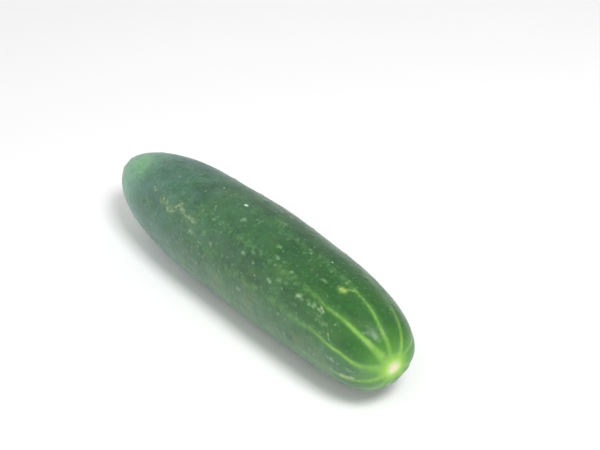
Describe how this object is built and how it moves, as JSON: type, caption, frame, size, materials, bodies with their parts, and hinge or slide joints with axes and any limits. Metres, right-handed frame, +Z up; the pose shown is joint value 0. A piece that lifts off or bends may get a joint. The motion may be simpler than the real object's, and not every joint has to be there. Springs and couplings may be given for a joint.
{
  "type": "cucumber",
  "caption": "Whole slicing cucumber lying on its belly: a blunt, slightly bent green body with low warts, a blossom scar and a stem stub.",
  "frame": {"origin": "on the surface that the cucumber lies on, under the middle of its box", "axes": "+X along the body towards the blossom end, +Z up out of the surface that it lies on, +Y across the body, away from the bend"},
  "size_m": [0.211, 0.055, 0.0537],
  "materials": {
    "skin": "waxy dark green skin, semi-gloss, with pale yellow-green stripes running back from the blossom scar, small pale specks and a grey bloom towards the stem"
  },
  "bodies": {
    "root": {"cucumber": "skin"}
  },
  "joints": []
}
